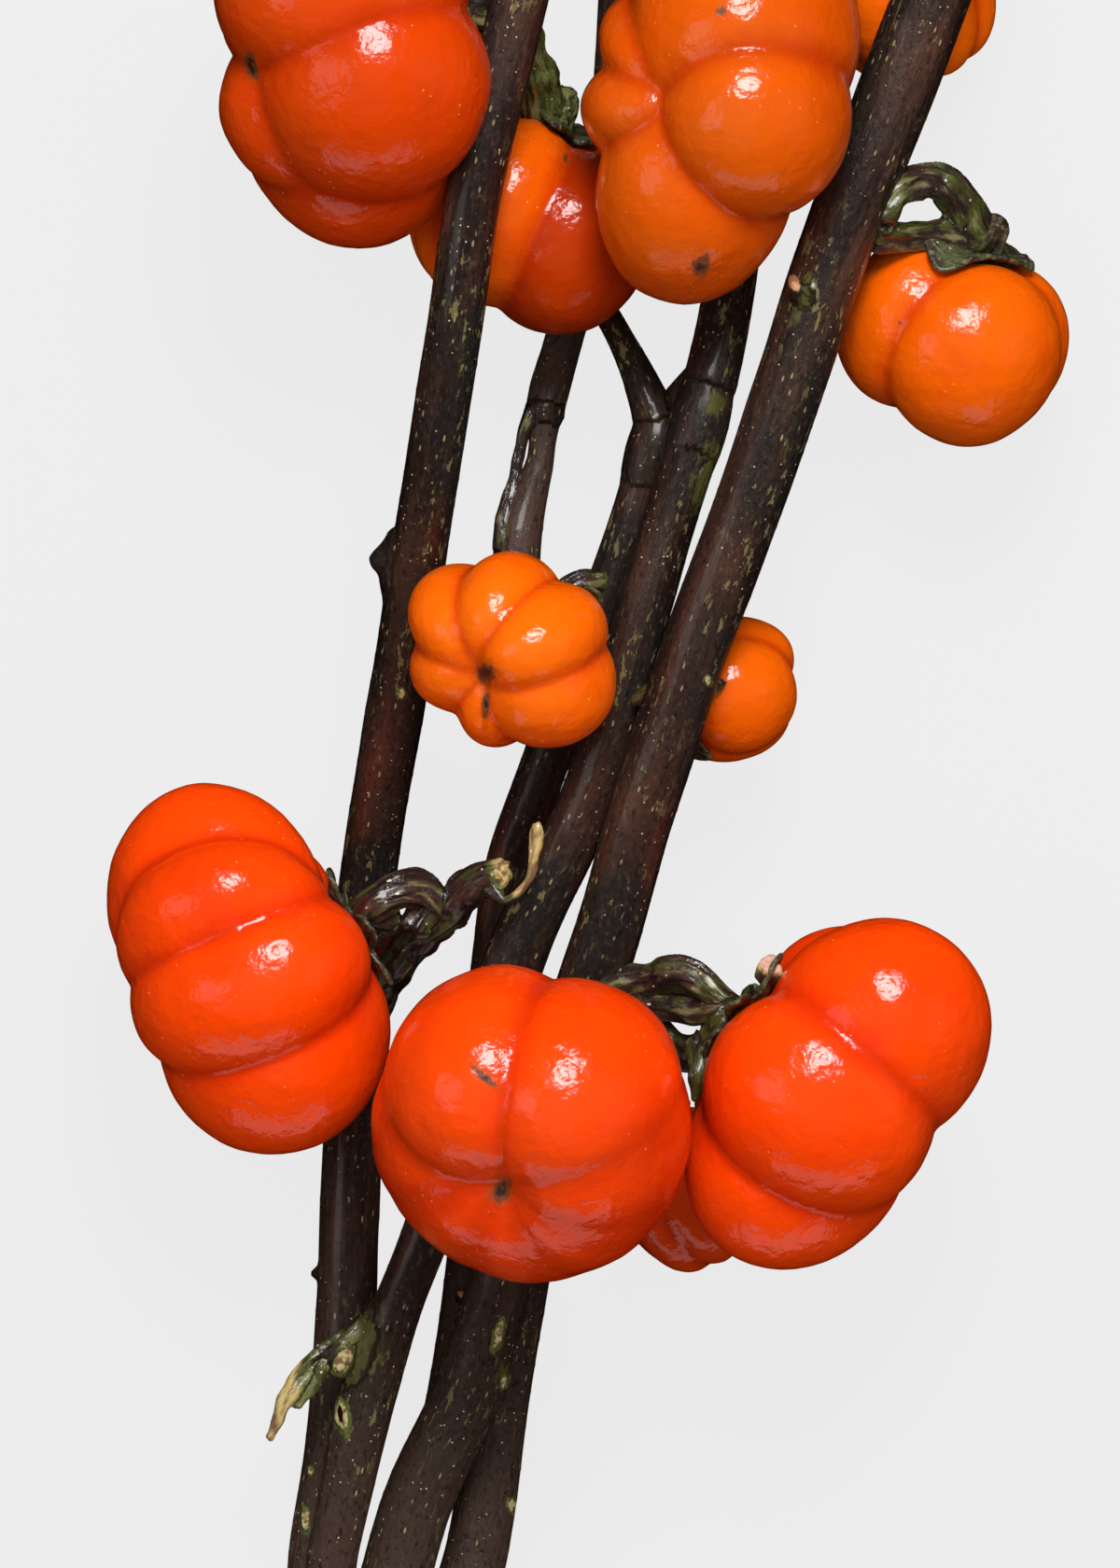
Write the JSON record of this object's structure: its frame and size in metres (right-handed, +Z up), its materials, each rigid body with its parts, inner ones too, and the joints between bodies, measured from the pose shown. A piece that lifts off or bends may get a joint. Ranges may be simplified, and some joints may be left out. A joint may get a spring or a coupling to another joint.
{
  "type": "pumpkin tree branch",
  "caption": "Cut branch of a pumpkin tree lying down: dark forking stems with warty stalks and glossy ribbed orange and red fruits under green calyxes.",
  "frame": {"origin": "middle of the branch's outline on the surface it lies on", "axes": "+Y along the stems towards their tips, +X across them, +Z up from the surface"},
  "size_m": [0.1548, 0.3435, 0.0798],
  "materials": {
    "bark": "dark purple-brown bark with pale specks, half gloss",
    "red_skin": "glossy waxy fruit skin",
    "orange_skin": "glossy waxy fruit skin",
    "amber_skin": "glossy waxy fruit skin",
    "dark_red_skin": "glossy waxy fruit skin",
    "calyx": "leathery dull green"
  },
  "bodies": {
    "root": {"wood": "bark", "fruit_upper_left": "red_skin", "calyx_upper_left": "calyx", "fruit_behind_left_stem": "orange_skin", "calyx_behind_left_stem": "calyx", "fruit_upper_middle": "amber_skin", "calyx_upper_middle": "calyx", "fruit_top_right": "orange_skin", "calyx_top_right": "calyx", "fruit_right": "amber_skin", "calyx_right": "calyx", "fruit_small_middle": "amber_skin", "calyx_small_middle": "calyx", "fruit_small_right": "orange_skin", "calyx_small_right": "calyx", "fruit_lower_left": "red_skin", "calyx_lower_left": "calyx", "fruit_lower_middle": "red_skin", "calyx_lower_middle": "calyx", "fruit_lower_right": "red_skin", "calyx_lower_right": "calyx", "fruit_low_behind": "dark_red_skin", "calyx_low_behind": "calyx"}
  },
  "joints": []
}
